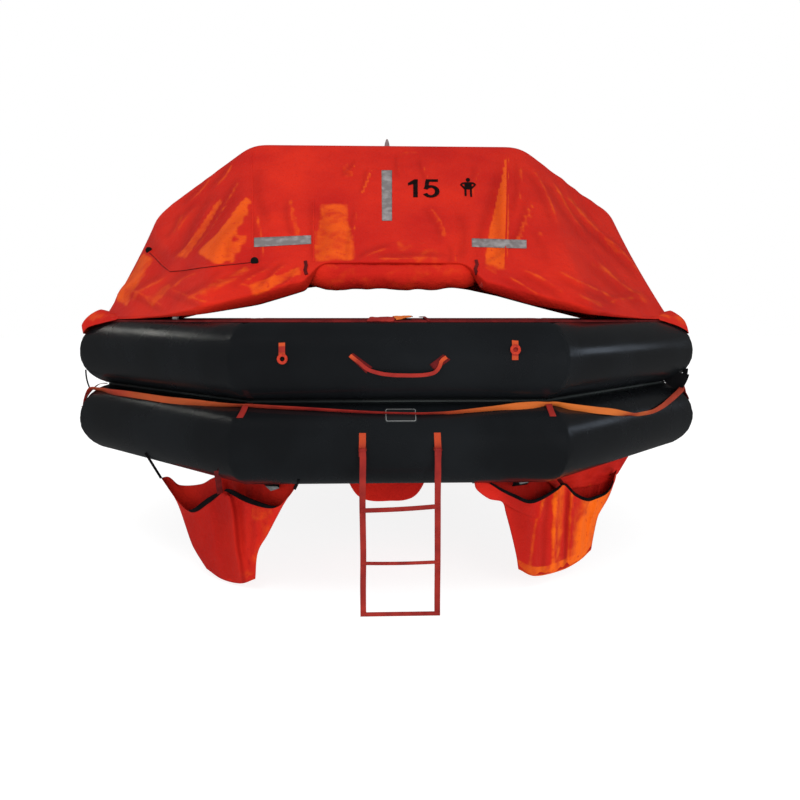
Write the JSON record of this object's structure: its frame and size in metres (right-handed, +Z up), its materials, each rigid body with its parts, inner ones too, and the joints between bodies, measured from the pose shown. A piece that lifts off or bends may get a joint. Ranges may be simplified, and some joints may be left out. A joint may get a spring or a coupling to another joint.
{
  "type": "inflatable life raft",
  "caption": "Octagonal inflatable life raft: two stacked black tubes, arch-held orange canopy open at both entrances, hanging boarding ladders, water pockets and gas cylinder.",
  "frame": {"origin": "middle of the raft in plan, at the waterline of the empty raft, 60 mm above the underside of the lower tube", "axes": "+Z up, +X to starboard across the raft, -Y towards the front entrance that the picture shows"},
  "size_m": [3.3, 3.3752, 2.2966],
  "materials": {
    "tube_rubber": "smooth, low sheen",
    "floor_rubber": "matt",
    "canopy_fabric": "coated, glossy folds",
    "pocket_fabric": "coated, soft sheen",
    "red_webbing": "woven",
    "orange_webbing": "woven",
    "label_rubber": "matt with a raised border",
    "lamp_plastic": "satin",
    "cylinder_metal": "grey paint",
    "valve_brass": "dull"
  },
  "bodies": {
    "raft": {"lower_tube": "tube_rubber", "upper_tube": "tube_rubber", "floor": "floor_rubber", "arch_tube": "tube_rubber", "canopy_front": "canopy_fabric", "canopy_rear": "canopy_fabric", "canopy_skirt_left": "canopy_fabric", "canopy_skirt_right": "canopy_fabric", "canopy_band_front": "red_webbing", "canopy_band_rear": "red_webbing", "curtain_roll_front": "canopy_fabric", "curtain_roll_rear": "canopy_fabric", "lifeline_outer": "orange_webbing", "lifeline_inner": "orange_webbing", "lifeline_tab_1": "red_webbing", "lifeline_tab_2": "red_webbing", "lifeline_tab_3": "red_webbing", "lifeline_tab_4": "red_webbing", "lifeline_tab_5": "red_webbing", "lifeline_tab_6": "red_webbing", "lifeline_tab_7": "red_webbing", "lifeline_tab_8": "red_webbing", "label_plate": "label_rubber", "handle_patch_front_left": "red_webbing", "handle_patch_front_right": "red_webbing", "handle_strap_front": "red_webbing", "handle_patch_rear_left": "red_webbing", "handle_patch_rear_right": "red_webbing", "handle_strap_rear": "red_webbing", "ring_tab_front_left": "red_webbing", "ring_tab_front_right": "red_webbing", "ring_tab_rear_left": "red_webbing", "ring_tab_rear_right": "red_webbing", "ladder_anchor_front_left": "orange_webbing", "ladder_anchor_front_right": "orange_webbing", "ladder_anchor_rear_left": "orange_webbing", "ladder_anchor_rear_right": "orange_webbing", "water_pocket_front_left": "pocket_fabric", "water_pocket_front_right": "pocket_fabric", "water_pocket_rear_left": "pocket_fabric", "water_pocket_rear_right": "pocket_fabric", "gas_cylinder": "cylinder_metal", "cylinder_valve": "valve_brass", "cylinder_sling": "pocket_fabric", "arch_light": "lamp_plastic", "righting_strap": "red_webbing"},
    "front_ladder": {"ladder_front": "red_webbing"},
    "rear_ladder": {"ladder_rear": "red_webbing"}
  },
  "joints": [
    {"name": "ladder_front_swing", "type": "hinge", "parent": "raft", "child": "front_ladder", "pos_m": [0, -1.668, 0.115], "axis": [-1, 0, 0], "range_deg": [0, 150]},
    {"name": "ladder_rear_swing", "type": "hinge", "parent": "raft", "child": "rear_ladder", "pos_m": [0, 1.668, 0.115], "axis": [1, 0, 0], "range_deg": [0, 150]}
  ]
}
